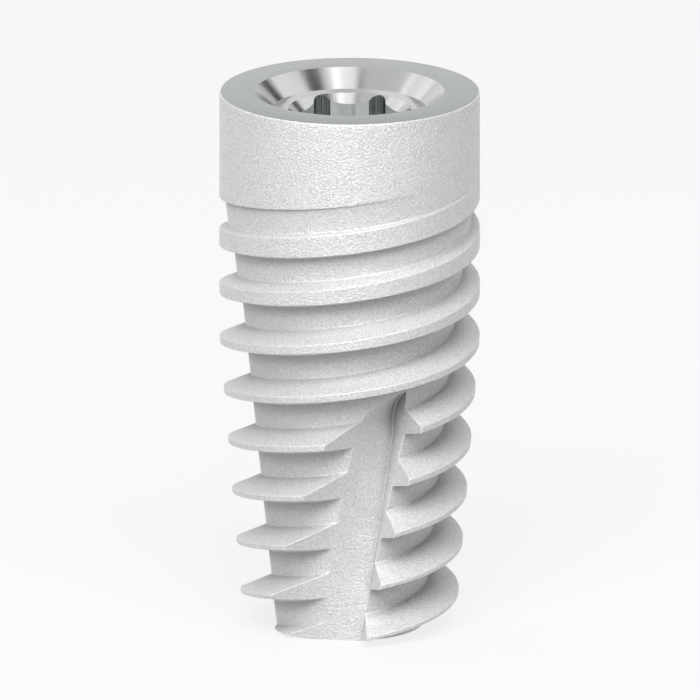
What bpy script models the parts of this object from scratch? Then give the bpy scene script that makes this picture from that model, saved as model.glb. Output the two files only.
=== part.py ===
"""A tapered dental implant with a double-start thread, two cutting flutes and a hexagonal socket.

It is one piece, made here in the order of the real one: a turned blank, thread grooves, flutes,
then the socket and the screw bore. Units are metres and +Z is up. The origin is the centre of
the flat lower end. Depths run down from the platform, the flat ring on top. Azimuths start at
the front (-Y) and grow towards +X, the way the right-hand thread climbs.
"""

import math

import bmesh
import bpy
from mathutils import Vector

MM = 0.001
NAME = "implant_body"

# Blank
LENGTH = 12.65 * MM
COLLAR_RADIUS = 3.0 * MM
PLATFORM_EDGE = 0.03 * MM
PARALLEL_LENGTH = 5.78 * MM
CREST_TAPER = math.radians(4.58)
APEX_CHAMFER_HEIGHT = 0.18 * MM
APEX_CHAMFER_WIDTH = 0.65 * MM

# Thread. The root taper is steep at first, which lets the grooves fade into the collar.
THREAD_STARTS = 2
THREAD_LEAD = 2.39 * MM
THREAD_TOP = 1.845 * MM
GROOVE_DEPTH_AT_FRONT = 2.247 * MM
GROOVE_FLOOR = 0.593 * MM
FLOOR_SLOPE = math.radians(6.7)
UPPER_FLANK = math.radians(24.5)
LOWER_FLANK = math.radians(13.3)
ROOT_KNEE = 4.98 * MM
UPPER_ROOT_TAPER = math.radians(9.76)
LOWER_ROOT_TAPER = math.radians(5.77)

# Flutes. Each is a notch with a wide floor and a radial cutting wall that meet along its foot.
FLUTE_COUNT = 2
FLUTE_LENGTH = 6.11 * MM
FLUTE_FOOT_RADIUS = 1.735 * MM
FLUTE_END_RADIUS = 1.0 * MM
WALL_TWIST_LENGTH = 4.94 * MM
WALL_AZIMUTH_AT_APEX = math.radians(8.0)
WALL_AZIMUTH_AT_TOP = math.radians(35.0)
FLOOR_HEADING_AT_APEX = math.radians(-8.5)
FLOOR_HEADING_AT_TOP = math.radians(53.2)

# Socket. Its bevels are at 45 degrees, and the inner one starts just outside the reliefs.
HEX_ACROSS_FLATS = 2.42 * MM
HEX_DEPTH = 2.0 * MM
RELIEF_RADIUS = 0.235 * MM
RELIEF_PAST_CORNER = 0.018 * MM
RELIEF_LAND = 0.01 * MM
LEDGE_WIDTH = 0.344 * MM
LEDGE_DEPTH = 0.414 * MM

# Screw bore below the socket, drawn at the size of the drill for its thread
BORE_DIAMETER = 1.6 * MM
BORE_CHAMFER = 0.2 * MM
BORE_DEPTH = 6.5 * MM
DRILL_POINT = math.radians(118.0)

# Fineness of the facets, and how far a cutter passes what it cuts
SEGMENTS = 60
FLUTE_STEPS = 20
FLUTE_END_STEPS = 6
FLUTE_FLOOR_STEPS = 5
FLUTE_RIM_STEPS = 6
RELIEF_STEPS = 8
CUTTER_MARGIN = 0.2 * MM
MERGE_DISTANCE = 0.0001 * MM
CREASE_ANGLE = math.radians(20.0)


def clear_scene():
    for obj in list(bpy.data.objects):
        bpy.data.objects.remove(obj, do_unlink=True)


def new_collection(name, hidden=False):
    collection = bpy.data.collections.new(name)
    collection.hide_render = hidden
    bpy.context.scene.collection.children.link(collection)
    return collection


def metal(name, colour, roughness):
    material = bpy.data.materials.new(name)
    material.use_nodes = True
    shader = material.node_tree.nodes["Principled BSDF"]
    shader.inputs["Base Color"].default_value = (*colour, 1.0)
    shader.inputs["Metallic"].default_value = 1.0
    shader.inputs["Roughness"].default_value = roughness
    return material


def place(radius, azimuth, depth):
    return Vector((radius * math.sin(azimuth), -radius * math.cos(azimuth), LENGTH - depth))


def crest_radius(depth):
    """Radius of the blank, and so of the thread's crests."""
    return COLLAR_RADIUS - max(depth - PARALLEL_LENGTH, 0.0) * math.tan(CREST_TAPER)


def root_radius(depth):
    """Radius at the middle of the groove floor."""
    steep = min(depth, ROOT_KNEE) - THREAD_TOP
    gentle = max(depth - ROOT_KNEE, 0.0)
    return (
        COLLAR_RADIUS
        - steep * math.tan(UPPER_ROOT_TAPER)
        - gentle * math.tan(LOWER_ROOT_TAPER)
    )


def add_object(name, mesh, collection, material):
    mesh.materials.append(material)
    obj = bpy.data.objects.new(name, mesh)
    collection.objects.link(obj)
    return obj


def as_cutter(obj):
    obj.hide_render = True
    obj.display_type = "WIRE"
    return obj


def turned(name, profile, collection, material):
    """A solid of revolution from (radius, depth) points that run down the outer side."""
    mesh = bpy.data.meshes.new(name)
    points = [(radius, 0.0, LENGTH - depth) for radius, depth in profile]
    edges = [(i, i + 1) for i in range(len(points) - 1)]
    mesh.from_pydata(points, edges, [])
    obj = add_object(name, mesh, collection, material)
    screw = obj.modifiers.new("Turn", "SCREW")
    screw.axis = "Z"
    screw.steps = SEGMENTS
    screw.render_steps = SEGMENTS
    screw.use_merge_vertices = True
    screw.merge_threshold = MERGE_DISTANCE
    screw.use_smooth_shade = False
    return obj


def loft(name, sections, collection, material):
    """A closed solid through sections that all have the same number of points."""
    shape = bmesh.new()
    rings = [[shape.verts.new(point) for point in section] for section in sections]
    count = len(rings[0])
    sides = []
    for ring, following in zip(rings, rings[1:]):
        for i in range(count):
            j = (i + 1) % count
            sides.append(shape.faces.new((ring[i], ring[j], following[j], following[i])))
    shape.faces.new(rings[0])
    shape.faces.new(rings[-1])
    bmesh.ops.recalc_face_normals(shape, faces=shape.faces)
    # The sides twist, and a cut needs flat faces.
    bmesh.ops.triangulate(shape, faces=sides)
    mesh = bpy.data.meshes.new(name)
    shape.to_mesh(mesh)
    shape.free()
    return add_object(name, mesh, collection, material)


def copies_about_axis(obj, count, collection):
    """The object and its copies, spaced evenly about the implant's axis."""
    found = [obj]
    for index in range(1, count):
        copy = bpy.data.objects.new(f"{obj.name}_{index + 1}", obj.data)
        copy.rotation_euler.z = index * math.tau / count
        collection.objects.link(copy)
        found.append(copy)
    return found


def cut(body, cutter):
    boolean = body.modifiers.new(cutter.name, "BOOLEAN")
    boolean.operation = "DIFFERENCE"
    boolean.solver = "EXACT"
    boolean.material_mode = "TRANSFER"
    boolean.object = as_cutter(cutter)


def blank_profile():
    """The collar, the straight and tapered lengths, and the chamfered lower end."""
    chamfer_top = LENGTH - APEX_CHAMFER_HEIGHT
    return [
        (0.0, 0.0),
        (COLLAR_RADIUS - PLATFORM_EDGE, 0.0),
        (COLLAR_RADIUS, PLATFORM_EDGE),
        (COLLAR_RADIUS, PARALLEL_LENGTH),
        (crest_radius(chamfer_top), chamfer_top),
        (crest_radius(LENGTH) - APEX_CHAMFER_WIDTH, LENGTH),
        (0.0, LENGTH),
    ]


def groove_section(turns):
    """The groove's four corners in the axial plane, a number of turns below the front."""
    azimuth = -turns * math.tau
    middle = GROOVE_DEPTH_AT_FRONT + THREAD_LEAD * turns
    half_floor = GROOVE_FLOOR / 2
    lean = half_floor * math.tan(FLOOR_SLOPE)
    upper_root = root_radius(middle) + lean
    lower_root = root_radius(middle) - lean
    outside = crest_radius(middle) + CUTTER_MARGIN
    upper_reach = (outside - upper_root) * math.tan(LOWER_FLANK)
    lower_reach = (outside - lower_root) * math.tan(UPPER_FLANK)
    corners = (
        (upper_root, middle - half_floor),
        (lower_root, middle + half_floor),
        (outside, middle + half_floor + lower_reach),
        (outside, middle - half_floor - upper_reach),
    )
    return [place(radius, azimuth, depth) for radius, depth in corners]


def groove_sections():
    """From just outside the collar, where the groove fades out, to below the lower end."""
    first_depth = THREAD_TOP - CUTTER_MARGIN / 2 / math.tan(UPPER_ROOT_TAPER)
    last_depth = LENGTH + THREAD_LEAD / THREAD_STARTS
    first = math.floor((first_depth - GROOVE_DEPTH_AT_FRONT) / THREAD_LEAD * SEGMENTS)
    last = math.ceil((last_depth - GROOVE_DEPTH_AT_FRONT) / THREAD_LEAD * SEGMENTS)
    # Half a step keeps the groove's corners clear of the blank's own edges.
    return [groove_section((step + 0.5) / SEGMENTS) for step in range(first, last + 1)]


def flute_section(height, rise):
    """The flute's outline at a height above the lower end, its foot moved out by rise."""
    wall_share = min(height / WALL_TWIST_LENGTH, 1.0)
    floor_share = height / FLUTE_LENGTH
    wall = WALL_AZIMUTH_AT_APEX + (WALL_AZIMUTH_AT_TOP - WALL_AZIMUTH_AT_APEX) * wall_share
    heading = FLOOR_HEADING_AT_APEX + (FLOOR_HEADING_AT_TOP - FLOOR_HEADING_AT_APEX) * floor_share
    foot_radius = FLUTE_FOOT_RADIUS + rise
    outside = COLLAR_RADIUS + FLUTE_END_RADIUS
    # The floor is a straight line at right angles to its heading, from the foot outwards.
    distance = foot_radius * math.cos(heading - wall)
    floor_end = heading - math.acos(distance / outside)
    level = LENGTH - height
    foot = place(foot_radius, wall, level)
    rim = [
        place(outside, wall + (floor_end - wall) * step / FLUTE_RIM_STEPS, level)
        for step in range(FLUTE_RIM_STEPS + 1)
    ]
    floor = [rim[-1].lerp(foot, step / FLUTE_FLOOR_STEPS) for step in range(1, FLUTE_FLOOR_STEPS)]
    return [foot, *rim, *floor]


def flute_sections():
    """Along the foot at a constant distance from the axis, then out of the body on an arc."""
    arc_start = FLUTE_LENGTH - FLUTE_END_RADIUS
    sections = []
    for step in range(FLUTE_STEPS):
        height = (arc_start + CUTTER_MARGIN) * step / FLUTE_STEPS - CUTTER_MARGIN
        sections.append(flute_section(height, 0.0))
    for step in range(FLUTE_END_STEPS + 1):
        angle = math.pi / 2 * step / FLUTE_END_STEPS
        height = arc_start + FLUTE_END_RADIUS * math.sin(angle)
        rise = FLUTE_END_RADIUS * (1 - math.cos(angle))
        sections.append(flute_section(height, rise))
    return sections


def relief_reach():
    """Distance from the axis to the far side of a relief."""
    return HEX_ACROSS_FLATS / math.sqrt(3) + RELIEF_PAST_CORNER


def socket_profile():
    """The bevel, the ledge and the inner bevel, then the screw bore with its drilled end."""
    ledge_inner = relief_reach() + RELIEF_LAND
    ledge_outer = ledge_inner + LEDGE_WIDTH
    bore_radius = BORE_DIAMETER / 2
    bore_mouth = bore_radius + BORE_CHAMFER
    point_length = bore_radius / math.tan(DRILL_POINT / 2)
    return [
        (0.0, -CUTTER_MARGIN),
        (ledge_outer + LEDGE_DEPTH + CUTTER_MARGIN, -CUTTER_MARGIN),
        (ledge_outer, LEDGE_DEPTH),
        (ledge_inner, LEDGE_DEPTH),
        (bore_mouth, LEDGE_DEPTH + ledge_inner - bore_mouth),
        (bore_mouth, HEX_DEPTH),
        (bore_radius, HEX_DEPTH + BORE_CHAMFER),
        (bore_radius, BORE_DEPTH),
        (0.0, BORE_DEPTH + point_length),
    ]


def hex_outline():
    """A hexagon with a flat to the front, its corners opened by round reliefs."""
    corner = math.pi / 6
    centre = relief_reach() - RELIEF_RADIUS
    flat_offset = HEX_ACROSS_FLATS / 2 - centre * math.cos(corner)
    # Half the arc of a relief, from its middle to where it meets a flat
    sweep = corner + math.acos(flat_offset / RELIEF_RADIUS)
    outline = []
    for index in range(6):
        direction = corner + index * math.pi / 3
        for step in range(RELIEF_STEPS + 1):
            angle = direction + sweep * (2 * step / RELIEF_STEPS - 1)
            x = centre * math.sin(direction) + RELIEF_RADIUS * math.sin(angle)
            y = centre * math.cos(direction) + RELIEF_RADIUS * math.cos(angle)
            outline.append((x, -y))
    return outline


def hex_sections():
    """The broached hexagon, from above the platform to its full depth."""
    levels = (LENGTH + CUTTER_MARGIN, LENGTH - HEX_DEPTH)
    return [[Vector((x, y, level)) for x, y in hex_outline()] for level in levels]


def finish(body):
    """Keeps the cut shape as the body's own mesh, smooth on its round faces."""
    graph = bpy.context.evaluated_depsgraph_get()
    mesh = bpy.data.meshes.new_from_object(body.evaluated_get(graph))
    body.modifiers.clear()
    body.data = mesh
    mesh.name = body.name
    mesh.shade_smooth()
    mesh.set_sharp_from_angle(angle=CREASE_ANGLE)


def build():
    clear_scene()
    parts = new_collection("dental_implant")
    cutters = new_collection("cutters", hidden=True)
    blasted = metal("blasted titanium", (0.70, 0.70, 0.71), 0.55)
    machined = metal("machined titanium", (0.62, 0.64, 0.64), 0.2)

    body = turned(NAME, blank_profile(), parts, blasted)
    groove = loft("thread_groove", groove_sections(), cutters, blasted)
    for cutter in copies_about_axis(groove, THREAD_STARTS, cutters):
        cut(body, cutter)
    flute = loft("flute", flute_sections(), cutters, blasted)
    for cutter in copies_about_axis(flute, FLUTE_COUNT, cutters):
        cut(body, cutter)
    cut(body, turned("socket", socket_profile(), cutters, machined))
    cut(body, loft("hexagon", hex_sections(), cutters, machined))
    finish(body)


build()
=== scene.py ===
"""The looks of a tapered dental implant: a finer mesh of the same solid, its finishes and a studio.

The sections follow the way such an implant is made: it is turned from titanium bar, its thread and
its cutting flutes are milled, its socket is bored and broached, and its outside is blasted.
Sizes are in millimetres, times MM. Depths run down from the platform, the flat ring on top.
Azimuths start at the front (-Y) and grow towards +X, the way the right-hand thread climbs.
"""

import math

import bmesh
import bpy
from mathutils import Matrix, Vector


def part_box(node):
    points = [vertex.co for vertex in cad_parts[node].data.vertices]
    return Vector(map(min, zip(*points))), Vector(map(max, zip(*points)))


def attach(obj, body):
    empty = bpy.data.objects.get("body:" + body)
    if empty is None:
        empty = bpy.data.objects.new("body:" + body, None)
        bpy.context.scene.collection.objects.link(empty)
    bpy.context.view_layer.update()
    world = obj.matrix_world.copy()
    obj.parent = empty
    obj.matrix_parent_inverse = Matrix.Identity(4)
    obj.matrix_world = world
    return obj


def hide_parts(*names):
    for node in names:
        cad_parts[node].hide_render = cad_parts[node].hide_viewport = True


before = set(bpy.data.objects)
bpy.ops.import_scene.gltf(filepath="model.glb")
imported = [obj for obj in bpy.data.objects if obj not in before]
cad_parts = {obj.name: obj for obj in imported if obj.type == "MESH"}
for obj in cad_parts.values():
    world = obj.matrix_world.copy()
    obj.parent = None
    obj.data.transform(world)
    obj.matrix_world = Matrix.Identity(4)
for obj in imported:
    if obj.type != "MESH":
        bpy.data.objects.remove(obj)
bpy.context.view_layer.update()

MM = 0.001

# Camera
# The photograph is drawn without perspective, from 15 degrees above the horizontal. Its scale
# comes from the collar, and its middle lies a little above the implant's.

COLLAR_PIXELS = 260.46
PICTURE_PIXELS = 700
CAMERA_ELEVATION = math.radians(15.0)
CAMERA_DISTANCE = 60 * MM
VIEW_CENTRE = Vector((0.0078, 0.0, 6.478)) * MM

body_low, body_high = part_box("implant_body")
LENGTH = body_high.z - body_low.z
COLLAR_RADIUS = (body_high.x - body_low.x) / 2

camera_data = bpy.data.cameras.new("camera")
camera_data.type = "ORTHO"
camera_data.ortho_scale = 2 * COLLAR_RADIUS * PICTURE_PIXELS / COLLAR_PIXELS
camera_data.clip_start = 1 * MM
camera_data.clip_end = 1000 * MM
camera = bpy.data.objects.new("camera", camera_data)
bpy.context.scene.collection.objects.link(camera)
to_camera = Vector((0.0, -math.cos(CAMERA_ELEVATION), math.sin(CAMERA_ELEVATION)))
camera.location = VIEW_CENTRE + to_camera * CAMERA_DISTANCE
camera.rotation_euler = to_camera.to_track_quat("Z", "Y").to_euler()
bpy.context.scene.camera = camera
bpy.context.scene.view_settings.view_transform = "Standard"


# Blasted titanium
# Commercially pure titanium, blasted with grit and etched after it is milled. The grit leaves fine
# pits, which turn the grey metal pale and matt. Real pits are a few thousandths of a millimetre
# wide, and they are drawn ten times as wide so that the grain shows.

PEAK_HEX = "#F0F0F0"
PIT_HEX = "#B2B2B3"
# Colour of the painted shade under the crests, and below it the reach and range of its occlusion test
PAINTED_SHADE_HEX = "#8E8E90"
# Colour of the painted highlight along the edges
PAINTED_HIGHLIGHT_HEX = "#F6F6F6"
BLASTED_ROUGHNESS = 0.72
PIT_WIDTH = 0.045 * MM
PIT_DEPTH = 0.03 * MM
SHADE_REACH = 0.45 * MM
SHADE_RANGE = (0.25, 0.8)
EDGE_ROUNDING = 0.03 * MM
# How quickly the painted highlight brightens at an edge
HIGHLIGHT_GAIN = 4.5


def linear(hex_colour):
    """The linear colour of an sRGB hex value."""
    channels = [int(hex_colour[i : i + 2], 16) / 255 for i in (1, 3, 5)]
    return (*[c / 12.92 if c <= 0.04045 else ((c + 0.055) / 1.055) ** 2.4 for c in channels], 1.0)


def add_node(material, kind, settings=None, links=None, **inputs):
    """A node with its settings, its input values and its links from other nodes' outputs."""
    tree = material.node_tree
    node = tree.nodes.new(kind)
    for name, value in (settings or {}).items():
        setattr(node, name, value)
    for name, value in inputs.items():
        node.inputs[name.replace("_", " ")].default_value = value
    for name, output in (links or {}).items():
        tree.links.new(output, node.inputs[name])
    return node


def new_metal(name, hex_colour, roughness):
    material = bpy.data.materials.new(name)
    material.use_nodes = True
    shader = material.node_tree.nodes["Principled BSDF"]
    shader.inputs["Base Color"].default_value = linear(hex_colour)
    shader.inputs["Metallic"].default_value = 1.0
    shader.inputs["Roughness"].default_value = roughness
    return material, shader


def blasted_titanium():
    """Pale and matt, with a fine grain, painted shade in creases and painted highlights on edges."""
    material, shader = new_metal("blasted titanium", PEAK_HEX, BLASTED_ROUGHNESS)
    where = add_node(material, "ShaderNodeTexCoord").outputs["Object"]
    pits = add_node(
        material, "ShaderNodeTexNoise", links={"Vector": where},
        Scale=1 / PIT_WIDTH, Detail=2.0, Roughness=0.5,
    ).outputs["Fac"]
    grain = add_node(material, "ShaderNodeMix", {"data_type": "RGBA"}, {"Factor": pits})
    grain.inputs["A"].default_value = linear(PIT_HEX)
    grain.inputs["B"].default_value = linear(PEAK_HEX)
    # Painted shade: the colour is darkened in the lee under each crest, where shadow falls, by an
    # occlusion test that looks upwards. The lee under each crest is drawn darker, as if the grit
    # came slanting down from above. This is a guess from the photograph, whose dark creases may
    # be shadow and not finish.
    surface = add_node(material, "ShaderNodeNewGeometry").outputs["Normal"]
    shade_direction = add_node(material, "ShaderNodeVectorMath", {"operation": "ADD"}, {0: surface})
    shade_direction.inputs[1].default_value = (0.0, 0.0, 1.0)
    open_above = add_node(
        material, "ShaderNodeAmbientOcclusion", {"samples": 8, "only_local": True},
        {"Normal": shade_direction.outputs["Vector"]}, Distance=SHADE_REACH,
    ).outputs["AO"]
    # Painted shade: this share is low where the upward occlusion test is blocked, and there the colour
    # turns to the shade colour.
    blasted = add_node(
        material, "ShaderNodeMapRange", links={"Value": open_above},
        From_Min=SHADE_RANGE[0], From_Max=SHADE_RANGE[1],
    ).outputs["Result"]
    grain_and_shade = add_node(
        material, "ShaderNodeMix", {"data_type": "RGBA"},
        {"Factor": blasted, "B": grain.outputs["Result"]},
    )
    grain_and_shade.inputs["A"].default_value = linear(PAINTED_SHADE_HEX)
    # Blasting rounds the edges, and the bump follows the rounded normal. The colour is also brightened
    # there as a painted highlight, where the rounded normal leaves the face's own.
    rounding = add_node(
        material, "ShaderNodeBevel", {"samples": 4}, Radius=EDGE_ROUNDING,
    ).outputs["Normal"]
    agreement = add_node(
        material, "ShaderNodeVectorMath", {"operation": "DOT_PRODUCT"}, {0: rounding, 1: surface},
    ).outputs["Value"]
    # Painted highlight: where the rounded normal turns from the face's own, the colour is brightened
    # towards the highlight colour.
    edge = add_node(
        material, "ShaderNodeMapRange", links={"Value": agreement},
        From_Min=1.0, From_Max=1.0 - 1.0 / HIGHLIGHT_GAIN,
    ).outputs["Result"]
    highlighted = add_node(
        material, "ShaderNodeMix", {"data_type": "RGBA"},
        {"Factor": edge, "A": grain_and_shade.outputs["Result"]},
    )
    highlighted.inputs["B"].default_value = linear(PAINTED_HIGHLIGHT_HEX)
    bump = add_node(
        material, "ShaderNodeBump", links={"Height": pits, "Normal": rounding},
        Strength=1.0, Distance=PIT_DEPTH,
    )
    material.node_tree.links.new(highlighted.outputs["Result"], shader.inputs["Base Color"])
    material.node_tree.links.new(bump.outputs["Normal"], shader.inputs["Normal"])
    return material


BLASTED = blasted_titanium()


# Blank
# The bar is turned to a straight collar, a straight length and a long taper, and its lower end is
# faced flat and chamfered. The platform is faced last and keeps a fine turned finish.

PLATFORM_EDGE = 0.03 * MM
PARALLEL_LENGTH = 5.78 * MM
CREST_TAPER = math.radians(4.58)
APEX_CHAMFER_HEIGHT = 0.18 * MM
APEX_CHAMFER_WIDTH = 0.65 * MM
SEGMENTS = 200
RING_SPACING = 0.2 * MM
EDGE_STEPS = 4
FACED_HEX = "#B8BDBB"
FACED_ROUGHNESS = 0.3
# The feed marks of the tool are a hundredth of a millimetre apart, and are drawn coarser to show.
FACED_MARKS = 0.05 * MM
FACED_MARK_DEPTH = 0.0016 * MM
MARK_RANGE = (0.3, 0.7)
MARK_GLOSS = 0.2


def place(radius, azimuth, depth):
    return Vector((radius * math.sin(azimuth), -radius * math.cos(azimuth), LENGTH - depth))


def crest_radius(depth):
    """Radius of the blank, and so of the thread's crests."""
    return COLLAR_RADIUS - max(depth - PARALLEL_LENGTH, 0.0) * math.tan(CREST_TAPER)


def rounded(corners, radii, steps=EDGE_STEPS):
    """The flat outline through the corners, each of them rounded to its radius."""
    outline = []
    for index, (corner, radius) in enumerate(zip(corners, radii)):
        if radius == 0:
            outline.append(corner)
            continue
        before = (corners[index - 1] - corner).normalized()
        after = (corners[(index + 1) % len(corners)] - corner).normalized()
        half = before.angle(after) / 2
        centre = corner + (before + after).normalized() * radius / math.sin(half)
        first = (corner + before * radius / math.tan(half) - centre).normalized()
        last = (corner + after * radius / math.tan(half) - centre).normalized()
        outline += [centre + first.slerp(last, step / steps) * radius for step in range(steps + 1)]
    return outline


def add_object(name, shape, materials):
    mesh = bpy.data.meshes.new(name)
    shape.to_mesh(mesh)
    shape.free()
    for material in materials:
        mesh.materials.append(material)
    obj = bpy.data.objects.new(name, mesh)
    bpy.context.scene.collection.objects.link(obj)
    return obj


def loft(name, sections, materials, strip_materials=None):
    """A solid through sections of equally many points, with one material for each strip along it."""
    shape = bmesh.new()
    rings = [[shape.verts.new(point) for point in section] for section in sections]
    count = len(rings[0])
    sides = []
    for ring, other in zip(rings, rings[1:]):
        for i in range(count):
            j = (i + 1) % count
            face = shape.faces.new((ring[i], ring[j], other[j], other[i]))
            face.material_index = strip_materials[i] if strip_materials else 0
            sides.append(face)
    shape.faces.new(rings[0])
    shape.faces.new(rings[-1])
    bmesh.ops.recalc_face_normals(shape, faces=shape.faces)
    bmesh.ops.triangulate(shape, faces=sides)
    return add_object(name, shape, materials)


def turned(name, profile, materials, strip_materials=None):
    """A solid of revolution from (radius, depth) points whose first and last are on the axis."""
    shape = bmesh.new()
    ends = [shape.verts.new(place(0.0, 0.0, profile[i][1])) for i in (0, -1)]
    middle = profile[1:-1]
    rings = [
        [shape.verts.new(place(radius, turn * math.tau / SEGMENTS, depth)) for turn in range(SEGMENTS)]
        for radius, depth in middle
    ]
    strips = strip_materials or [0] * (len(profile) - 1)
    for i in range(SEGMENTS):
        j = (i + 1) % SEGMENTS
        shape.faces.new((ends[0], rings[0][i], rings[0][j])).material_index = strips[0]
        shape.faces.new((ends[1], rings[-1][j], rings[-1][i])).material_index = strips[-1]
        for k in range(len(rings) - 1):
            face = shape.faces.new((rings[k][i], rings[k + 1][i], rings[k + 1][j], rings[k][j]))
            face.material_index = strips[k + 1]
    bmesh.ops.recalc_face_normals(shape, faces=shape.faces)
    return add_object(name, shape, materials)


def around_axis(material):
    """Distance from the axis and height, for marks that run around the axis."""
    where = add_node(material, "ShaderNodeTexCoord").outputs["Object"]
    height = add_node(material, "ShaderNodeSeparateXYZ", links={"Vector": where}).outputs["Z"]
    flat = add_node(material, "ShaderNodeVectorMath", {"operation": "MULTIPLY"}, {0: where})
    flat.inputs[1].default_value = (1.0, 1.0, 0.0)
    radius = add_node(
        material, "ShaderNodeVectorMath", {"operation": "LENGTH"}, {0: flat.outputs["Vector"]},
    ).outputs["Value"]
    combined = add_node(material, "ShaderNodeCombineXYZ", links={"X": radius, "Z": height})
    return combined.outputs["Vector"]


def add_tool_marks(material, shader, where, spacing, depth):
    """Fine marks across the given coordinates, in the height of the metal and in its gloss."""
    marks = add_node(
        material, "ShaderNodeTexNoise", links={"Vector": where},
        Scale=1 / spacing, Detail=2.0, Roughness=0.6,
    ).outputs["Fac"]
    even = shader.inputs["Roughness"].default_value
    gloss = add_node(
        material, "ShaderNodeMapRange", links={"Value": marks},
        From_Min=MARK_RANGE[0], From_Max=MARK_RANGE[1],
        To_Min=even * (1 - MARK_GLOSS), To_Max=even * (1 + MARK_GLOSS),
    )
    bump = add_node(material, "ShaderNodeBump", links={"Height": marks}, Strength=1.0, Distance=depth)
    material.node_tree.links.new(gloss.outputs["Result"], shader.inputs["Roughness"])
    material.node_tree.links.new(bump.outputs["Normal"], shader.inputs["Normal"])


def faced_titanium():
    """Turned flat: a satin grey whose rings the tool's marks draw faintly."""
    material, shader = new_metal("faced titanium", FACED_HEX, FACED_ROUGHNESS)
    add_tool_marks(material, shader, around_axis(material), FACED_MARKS, FACED_MARK_DEPTH)
    return material


FACED = faced_titanium()

chamfer_top = LENGTH - APEX_CHAMFER_HEIGHT
rim = rounded(
    [Vector((0.0, 0.0)), Vector((COLLAR_RADIUS, 0.0)), Vector((COLLAR_RADIUS, PARALLEL_LENGTH))],
    [0, PLATFORM_EDGE, 0],
)[1:-1]
# Rings along the side keep its triangles short where the grooves cut it, so that it shades evenly.
ring_count = int(chamfer_top / RING_SPACING)
ring_depths = [chamfer_top * (ring + 1) / ring_count for ring in range(ring_count)]
blank_profile = [
    (0.0, 0.0),
    *rim,
    *[(crest_radius(depth), depth) for depth in ring_depths],
    (crest_radius(LENGTH) - APEX_CHAMFER_WIDTH, LENGTH),
    (0.0, LENGTH),
]
# Only the flat ring is faced; its rounded rim is blasted with the side.
blank_finishes = [1] + [0] * (len(blank_profile) - 2)
body = turned("implant", blank_profile, [BLASTED, FACED], blank_finishes)


# Thread
# Two grooves are milled side by side in a right-hand helix, which leaves a double thread. The
# root starts outside the collar and falls inwards, so that each groove grows out of the collar.

THREAD_STARTS = 2
THREAD_LEAD = 2.39 * MM
THREAD_TOP = 1.845 * MM
GROOVE_DEPTH_AT_FRONT = 2.247 * MM
GROOVE_FLOOR = 0.593 * MM
FLOOR_SLOPE = math.radians(6.7)
UPPER_FLANK = math.radians(24.5)
LOWER_FLANK = math.radians(13.3)
ROOT_KNEE = 4.98 * MM
UPPER_ROOT_TAPER = math.radians(9.76)
LOWER_ROOT_TAPER = math.radians(5.77)
CREST_ROUNDING = 0.035 * MM
LEAST_METAL = 0.1 * CREST_ROUNDING
ROOT_ROUNDING = 0.05 * MM
LIP_LENGTH = 0.04 * MM
LIP_ANGLE = math.radians(12)
CUTTER_MARGIN = 0.2 * MM


def root_radius(depth):
    """Radius at the middle of the groove floor."""
    steep = min(depth, ROOT_KNEE) - THREAD_TOP
    gentle = max(depth - ROOT_KNEE, 0.0)
    return COLLAR_RADIUS - steep * math.tan(UPPER_ROOT_TAPER) - gentle * math.tan(LOWER_ROOT_TAPER)


def groove_side(middle, side):
    """Outer point, lip, crest corner and floor corner on one side, and the depth of metal there."""
    floor_depth = middle + side * GROOVE_FLOOR / 2
    floor = root_radius(middle) - side * GROOVE_FLOOR / 2 * math.tan(FLOOR_SLOPE)
    flank = math.tan(UPPER_FLANK if side > 0 else LOWER_FLANK)
    crest = crest_radius(floor_depth)
    for _ in range(4):
        crest = crest_radius(floor_depth + side * max(crest - floor, 0.0) * flank)
    metal = max(crest - floor, LEAST_METAL)
    corner = Vector((floor + metal, floor_depth + side * metal * flank))
    taper = CREST_TAPER if corner.y > PARALLEL_LENGTH else 0.0
    lean = LIP_ANGLE - side * taper
    lip = corner + Vector((math.sin(lean), side * math.cos(lean))) * LIP_LENGTH
    outer = Vector((max(COLLAR_RADIUS, lip.x) + CUTTER_MARGIN, lip.y))
    return [outer, lip, corner, Vector((floor, floor_depth))], metal


def groove_section(turns):
    """The groove's outline in the axial plane, a number of turns below the front."""
    middle = GROOVE_DEPTH_AT_FRONT + THREAD_LEAD * turns
    upper, upper_metal = groove_side(middle, -1)
    lower, lower_metal = groove_side(middle, 1)
    radii = [0, 0, min(CREST_ROUNDING, upper_metal / 3), min(ROOT_ROUNDING, upper_metal / 3)]
    radii += [min(ROOT_ROUNDING, lower_metal / 3), min(CREST_ROUNDING, lower_metal / 3), 0, 0]
    outline = rounded(upper + lower[::-1], radii)
    return [place(point.x, -turns * math.tau, point.y) for point in outline]


def groove_sections():
    first_depth = THREAD_TOP - CUTTER_MARGIN / 2 / math.tan(UPPER_ROOT_TAPER)
    last_depth = LENGTH + THREAD_LEAD / THREAD_STARTS
    first = math.floor((first_depth - GROOVE_DEPTH_AT_FRONT) / THREAD_LEAD * SEGMENTS)
    last = math.ceil((last_depth - GROOVE_DEPTH_AT_FRONT) / THREAD_LEAD * SEGMENTS)
    # Half a step keeps the groove's corners clear of the blank's own edges.
    return [groove_section((step + 0.5) / SEGMENTS) for step in range(first, last + 1)]


def cut(target, cutter, turns=(0.0,)):
    """Cuts the cutter out of the target, once for each share of a turn that it is set to."""
    for turn in turns:
        cutter.rotation_euler.z = turn * math.tau
        boolean = target.modifiers.new(cutter.name, "BOOLEAN")
        boolean.operation = "DIFFERENCE"
        boolean.solver = "MANIFOLD"
        boolean.material_mode = "TRANSFER"
        boolean.object = cutter
        with bpy.context.temp_override(object=target):
            bpy.ops.object.modifier_apply(modifier=boolean.name)
    bpy.data.objects.remove(cutter)


def even_turns(count):
    return [index / count for index in range(count)]


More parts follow.
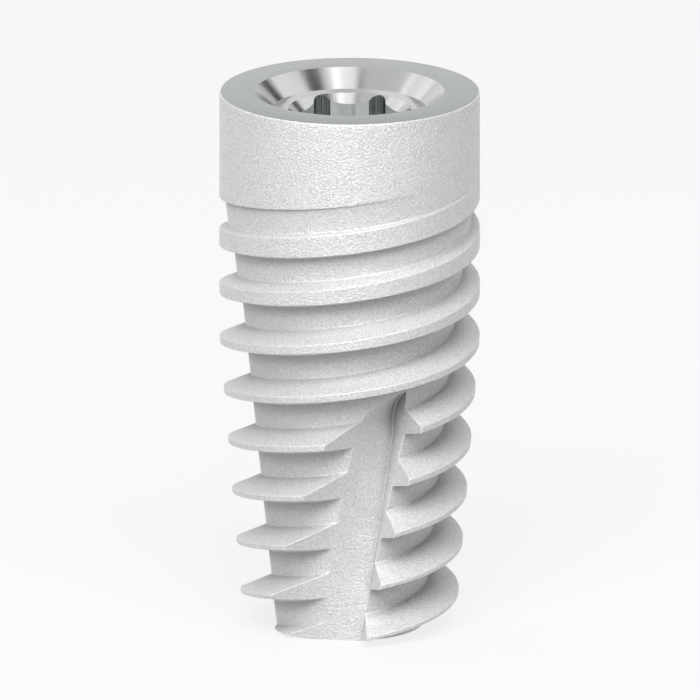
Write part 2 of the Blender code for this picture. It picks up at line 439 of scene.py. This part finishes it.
cut(body, loft("groove", groove_sections(), [BLASTED]), even_turns(THREAD_STARTS))


# Flutes
# Each flute is milled upwards from the lower end along a slight twist. It has a wide floor and a
# radial wall, whose edge cuts the bone, and it leaves the metal on an arc under a thread.

FLUTE_COUNT = 2
FLUTE_LENGTH = 6.11 * MM
FLUTE_FOOT_RADIUS = 1.735 * MM
FLUTE_END_RADIUS = 1.0 * MM
WALL_TWIST_LENGTH = 4.94 * MM
WALL_AZIMUTH_AT_APEX = math.radians(8.0)
WALL_AZIMUTH_AT_TOP = math.radians(35.0)
FLOOR_HEADING_AT_APEX = math.radians(-8.5)
FLOOR_HEADING_AT_TOP = math.radians(53.2)
FLUTE_STEPS = 60
FLUTE_END_STEPS = 24
FLUTE_FLOOR_STEPS = 12
FLUTE_RIM_STEPS = 8


def flute_section(height, rise):
    """The flute's outline at a height above the lower end, its foot moved out by rise."""
    wall_share = min(height / WALL_TWIST_LENGTH, 1.0)
    floor_share = height / FLUTE_LENGTH
    wall = WALL_AZIMUTH_AT_APEX + (WALL_AZIMUTH_AT_TOP - WALL_AZIMUTH_AT_APEX) * wall_share
    heading = FLOOR_HEADING_AT_APEX + (FLOOR_HEADING_AT_TOP - FLOOR_HEADING_AT_APEX) * floor_share
    foot_radius = FLUTE_FOOT_RADIUS + rise
    outside = COLLAR_RADIUS + FLUTE_END_RADIUS
    # The floor is a straight line at right angles to its heading, from the foot outwards.
    distance = foot_radius * math.cos(heading - wall)
    floor_end = heading - math.acos(distance / outside)
    level = LENGTH - height
    foot = place(foot_radius, wall, level)
    rim = [
        place(outside, wall + (floor_end - wall) * step / FLUTE_RIM_STEPS, level)
        for step in range(FLUTE_RIM_STEPS + 1)
    ]
    floor = [rim[-1].lerp(foot, step / FLUTE_FLOOR_STEPS) for step in range(1, FLUTE_FLOOR_STEPS)]
    return [foot, *rim, *floor]


def flute_sections():
    """Along the foot at a constant distance from the axis, then out of the body on an arc."""
    arc_start = FLUTE_LENGTH - FLUTE_END_RADIUS
    sections = []
    for step in range(FLUTE_STEPS):
        height = (arc_start + CUTTER_MARGIN) * step / FLUTE_STEPS - CUTTER_MARGIN
        sections.append(flute_section(height, 0.0))
    for step in range(FLUTE_END_STEPS + 1):
        angle = math.pi / 2 * step / FLUTE_END_STEPS
        height = arc_start + FLUTE_END_RADIUS * math.sin(angle)
        rise = FLUTE_END_RADIUS * (1 - math.cos(angle))
        sections.append(flute_section(height, rise))
    return sections


cut(body, loft("flute", flute_sections(), [BLASTED]), even_turns(FLUTE_COUNT))


# Socket
# The mouth is a polished 45 degree bevel with a flat ledge and a second bevel below it, which seat
# the abutment. The hexagon that keeps it from turning is broached, with a relief at each corner.

HEX_ACROSS_FLATS = 2.42 * MM
HEX_DEPTH = 2.0 * MM
RELIEF_RADIUS = 0.235 * MM
RELIEF_PAST_CORNER = 0.018 * MM
RELIEF_LAND = 0.01 * MM
LEDGE_WIDTH = 0.344 * MM
LEDGE_DEPTH = 0.414 * MM
RELIEF_STEPS = 20
POLISHED_HEX = "#D2D2D4"
POLISHED_ROUGHNESS = 0.19
# These marks are finer on the real part too, and are drawn coarser to show.
POLISHED_MARKS = 0.04 * MM
POLISHED_MARK_DEPTH = 0.0004 * MM
BROACHED_HEX = "#D8DCDB"
BROACHED_ROUGHNESS = 0.47
BROACHED_MARKS = 0.03 * MM
BROACHED_MARK_DEPTH = 0.001 * MM
BROACHED_MARK_STRETCH = 40
DRILLED_HEX = "#B4B8B7"
DRILLED_ROUGHNESS = 0.1
DRILLED_MARK_DEPTH = 0.0006 * MM


def polished_titanium():
    """Turned and polished: bright bands, barely broken by rings around the axis."""
    material, shader = new_metal("polished titanium", POLISHED_HEX, POLISHED_ROUGHNESS)
    add_tool_marks(material, shader, around_axis(material), POLISHED_MARKS, POLISHED_MARK_DEPTH)
    return material


def along_axis(material):
    """The place with its height squeezed, for marks that run down the axis."""
    where = add_node(material, "ShaderNodeTexCoord").outputs["Object"]
    squeezed = add_node(material, "ShaderNodeVectorMath", {"operation": "MULTIPLY"}, {0: where})
    squeezed.inputs[1].default_value = (1.0, 1.0, 1 / BROACHED_MARK_STRETCH)
    return squeezed.outputs["Vector"]


def broached_titanium():
    """Scraped by the broach: an even grey with fine upright scratches."""
    material, shader = new_metal("broached titanium", BROACHED_HEX, BROACHED_ROUGHNESS)
    add_tool_marks(material, shader, along_axis(material), BROACHED_MARKS, BROACHED_MARK_DEPTH)
    return material


def drilled_titanium():
    """Reamed smooth: dark with upright light stripes, where the round wall mirrors the mouth."""
    material, shader = new_metal("drilled titanium", DRILLED_HEX, DRILLED_ROUGHNESS)
    add_tool_marks(material, shader, along_axis(material), BROACHED_MARKS, DRILLED_MARK_DEPTH)
    return material


POLISHED = polished_titanium()
BROACHED = broached_titanium()
DRILLED = drilled_titanium()


def relief_reach():
    """Distance from the axis to the far side of a relief."""
    return HEX_ACROSS_FLATS / math.sqrt(3) + RELIEF_PAST_CORNER


def hex_outline():
    """A hexagon with a flat to the front, its corners opened by round reliefs."""
    corner = math.pi / 6
    centre = relief_reach() - RELIEF_RADIUS
    flat_offset = HEX_ACROSS_FLATS / 2 - centre * math.cos(corner)
    # Half the arc of a relief, from its middle to where it meets a flat
    sweep = corner + math.acos(flat_offset / RELIEF_RADIUS)
    outline = []
    for index in range(6):
        direction = corner + index * math.pi / 3
        for step in range(RELIEF_STEPS + 1):
            angle = direction + sweep * (2 * step / RELIEF_STEPS - 1)
            x = centre * math.sin(direction) + RELIEF_RADIUS * math.sin(angle)
            y = centre * math.cos(direction) + RELIEF_RADIUS * math.cos(angle)
            outline.append((x, -y))
    return outline


ledge_inner = relief_reach() + RELIEF_LAND
ledge_outer = ledge_inner + LEDGE_WIDTH
mouth = ledge_outer + LEDGE_DEPTH

# Screw bore
# A blind hole for the abutment's screw, drilled below the hexagon and tapped M2 by 0.4. It lies
# deep in the socket, where little light reaches it.

BORE_DIAMETER = 1.6 * MM
BORE_CHAMFER = 0.2 * MM
BORE_DEPTH = 6.5 * MM
DRILL_POINT = math.radians(118.0)
SCREW_DIAMETER = 2.0 * MM
SCREW_PITCH = 0.4 * MM
SCREW_CREST = 0.05 * MM
SCREW_FLANK = math.radians(30)
WIDEST_GROOVE = 0.48 * SCREW_PITCH
SCREW_RUNOUT = 1.0 * MM
SCREW_STEPS = 48

bore_radius = BORE_DIAMETER / 2
bore_mouth = bore_radius + BORE_CHAMFER
socket_corners = [
    (0.0, -CUTTER_MARGIN),
    (mouth + CUTTER_MARGIN, -CUTTER_MARGIN),
    (ledge_outer, LEDGE_DEPTH),
    (ledge_inner, LEDGE_DEPTH),
    (bore_mouth, LEDGE_DEPTH + ledge_inner - bore_mouth),
    (bore_mouth, HEX_DEPTH),
    (bore_radius, HEX_DEPTH + BORE_CHAMFER),
    (bore_radius, BORE_DEPTH),
    (0.0, BORE_DEPTH + bore_radius / math.tan(DRILL_POINT / 2)),
]
cut(body, turned("socket", socket_corners, [POLISHED, BROACHED], [0, 0, 0, 0, 1, 1, 1, 1]))
hex_levels = (LENGTH + CUTTER_MARGIN, LENGTH - HEX_DEPTH)
hex_sections = [[Vector((x, y, level)) for x, y in hex_outline()] for level in hex_levels]
hex_finishes = ([1] * RELIEF_STEPS + [0]) * 6
cut(body, loft("hexagon", hex_sections, [BROACHED, DRILLED], hex_finishes))


def screw_thread_sections():
    """The tapped groove, a triangle that starts inside the drilled bore."""
    inner = bore_radius - 0.25 * SCREW_PITCH
    outer = SCREW_DIAMETER / 2
    first = HEX_DEPTH - SCREW_PITCH / 2
    turns = (BORE_DEPTH - SCREW_RUNOUT - first) / SCREW_PITCH
    sections = []
    for step in range(int(turns * SCREW_STEPS)):
        azimuth = -(step + 0.5) / SCREW_STEPS * math.tau
        middle = first + SCREW_PITCH * (step + 0.5) / SCREW_STEPS
        reach = SCREW_CREST / 2 + (outer - inner) * math.tan(SCREW_FLANK)
        reach = min(reach, WIDEST_GROOVE)
        corners = (
            (inner, middle - reach),
            (inner, middle + reach),
            (outer, middle + SCREW_CREST / 2),
            (outer, middle - SCREW_CREST / 2),
        )
        sections.append([place(radius, azimuth, depth) for radius, depth in corners])
    return sections


cut(body, loft("screw_thread", screw_thread_sections(), [BROACHED]))


# Finished implant
# One solid piece: it takes the place of the plain solid and stands on its flat lower end.

CREASE_ANGLE = math.radians(25.0)

body.data.shade_smooth()
body.data.set_sharp_from_angle(angle=CREASE_ANGLE)
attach(body, "root")
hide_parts("implant_body")


# Studio
# A pale paper floor under a tent of dim cloth with a bright band at the horizon. Two large soft
# lamps stand in front, and smaller panels and dark cards above draw the bands on polished metal.

BACKGROUND_HEX = "#FAFAFA"
PAPER_HEX = "#CCCCCC"
PAPER_SHARE = 0.15
PAPER_ROUGHNESS = 0.9
FLOOR_SIZE = 600 * MM
LAMP_DISTANCE = 200 * MM
CARD_HEX = "#202020"
# Height above the horizon, as a sine, and brightness, where 1 is white
TENT_LEVELS = ((0.0, 0.955), (0.3, 0.955), (0.6, 0.5), (1.0, 0.45))
TENT_BRIGHT_SIDE = (-0.5, 0.86, 0.0)
TENT_SIDE_RANGE = (-0.8, 1.0)
HORIZON_BAND = (0.02, 0.05)
# Azimuth, elevation, width and height in degrees, and brightness
PANELS = {
    "front softbox": (-9, 37, 46, 16, 11.9),
    "upper front softbox": (5, 54, 54, 18, 9.5),
    "overhead strip": (17, 76, 20, 16, 1.0),
    "left back panel": (-123, 37, 30, 24, 0.62),
    "right back panel": (110, 45, 38, 26, 0.84),
    "left overhead panel": (-80, 62, 50, 30, 0.43),
    "right overhead panel": (52, 70, 14, 14, 0.72),
    "back overhead panel": (180, 60, 58, 34, 0.95),
}
CARDS = {
    "upper right card": (82, 61, 8, 12),
    "lower right card": (139, 24, 10, 14),
}

floor_shape = bmesh.new()
bmesh.ops.create_grid(floor_shape, x_segments=1, y_segments=1, size=FLOOR_SIZE / 2)


def paper():
    """Pale paper, evenly white to the camera and in the metal, with a faint shadow."""
    material = bpy.data.materials.new("pale paper")
    material.use_nodes = True
    shader = material.node_tree.nodes["Principled BSDF"]
    shader.inputs["Base Color"].default_value = linear(PAPER_HEX)
    shader.inputs["Roughness"].default_value = PAPER_ROUGHNESS
    ray = add_node(material, "ShaderNodeLightPath")
    seen = add_node(
        material, "ShaderNodeMath", {"operation": "MAXIMUM"},
        {0: ray.outputs["Is Camera Ray"], 1: ray.outputs["Is Glossy Ray"]},
    ).outputs["Value"]
    seen = add_node(
        material, "ShaderNodeMath", {"operation": "MAXIMUM"},
        {0: seen, 1: ray.outputs["Is Transmission Ray"]},
    ).outputs["Value"]
    share = add_node(material, "ShaderNodeMath", {"operation": "MULTIPLY"}, {0: seen})
    share.inputs[1].default_value = 1 - PAPER_SHARE
    white = add_node(material, "ShaderNodeEmission", Color=linear(BACKGROUND_HEX), Strength=1.0)
    mixed = add_node(
        material, "ShaderNodeMixShader",
        links={0: share.outputs["Value"], 1: shader.outputs["BSDF"], 2: white.outputs["Emission"]},
    )
    output = material.node_tree.nodes["Material Output"]
    material.node_tree.links.new(mixed.outputs["Shader"], output.inputs["Surface"])
    return material


def card():
    material = bpy.data.materials.new("dark card")
    material.use_nodes = True
    shader = material.node_tree.nodes["Principled BSDF"]
    shader.inputs["Base Color"].default_value = linear(CARD_HEX)
    shader.inputs["Roughness"].default_value = PAPER_ROUGHNESS
    return material


def aim(obj, azimuth, elevation):
    """Sets an object in the tent's wall, facing the implant."""
    across, up = math.radians(azimuth), math.radians(elevation)
    outwards = Vector((math.sin(across) * math.cos(up), -math.cos(across) * math.cos(up), math.sin(up)))
    obj.location = Vector((0.0, 0.0, LENGTH / 2)) + outwards * LAMP_DISTANCE
    obj.rotation_euler = outwards.to_track_quat("Z", "Y").to_euler()


def breadth(degrees):
    return 2 * LAMP_DISTANCE * math.tan(math.radians(degrees) / 2)


add_object("floor", floor_shape, [paper()])

for name, (azimuth, elevation, width, height, brightness) in PANELS.items():
    panel = bpy.data.lights.new(name, "AREA")
    panel.shape = "RECTANGLE"
    panel.size = breadth(width)
    panel.size_y = breadth(height)
    panel.energy = brightness * math.pi * panel.size * panel.size_y
    lamp = bpy.data.objects.new(name, panel)
    bpy.context.scene.collection.objects.link(lamp)
    aim(lamp, azimuth, elevation)

dark_card = card()
for name, (azimuth, elevation, width, height) in CARDS.items():
    card_shape = bmesh.new()
    bmesh.ops.create_grid(card_shape, x_segments=1, y_segments=1, size=0.5)
    bmesh.ops.scale(card_shape, vec=(breadth(width), breadth(height), 1.0), verts=card_shape.verts)
    plane = add_object(name.replace(" ", "_"), card_shape, [dark_card])
    aim(plane, azimuth, elevation)
    plane.visible_camera = False

world = bpy.data.worlds.new("studio tent")
bpy.context.scene.world = world
world.use_nodes = True
direction = add_node(world, "ShaderNodeTexCoord").outputs["Generated"]
height = add_node(world, "ShaderNodeSeparateXYZ", links={"Vector": direction}).outputs["Z"]
tent = add_node(world, "ShaderNodeValToRGB", links={"Fac": height})
while len(tent.color_ramp.elements) < len(TENT_LEVELS):
    tent.color_ramp.elements.new(0.5)
for stop, (position, level) in zip(tent.color_ramp.elements, TENT_LEVELS):
    stop.position = position
    stop.color = (level, level, level, 1.0)
side = add_node(world, "ShaderNodeVectorMath", {"operation": "DOT_PRODUCT"}, {0: direction})
side.inputs[1].default_value = TENT_BRIGHT_SIDE
share = add_node(
    world, "ShaderNodeMapRange", links={"Value": side.outputs["Value"]},
    From_Min=TENT_SIDE_RANGE[0], From_Max=TENT_SIDE_RANGE[1],
)
# The horizon itself is as white as the floor on every side.
horizon = add_node(
    world, "ShaderNodeMapRange", links={"Value": height},
    From_Min=HORIZON_BAND[0], From_Max=HORIZON_BAND[1], To_Min=1.0, To_Max=0.0,
)
level = add_node(
    world, "ShaderNodeMath", {"operation": "MAXIMUM"},
    {0: share.outputs["Result"], 1: horizon.outputs["Result"]},
)
background = world.node_tree.nodes["Background"]
world.node_tree.links.new(tent.outputs["Color"], background.inputs["Color"])
world.node_tree.links.new(level.outputs["Value"], background.inputs["Strength"])
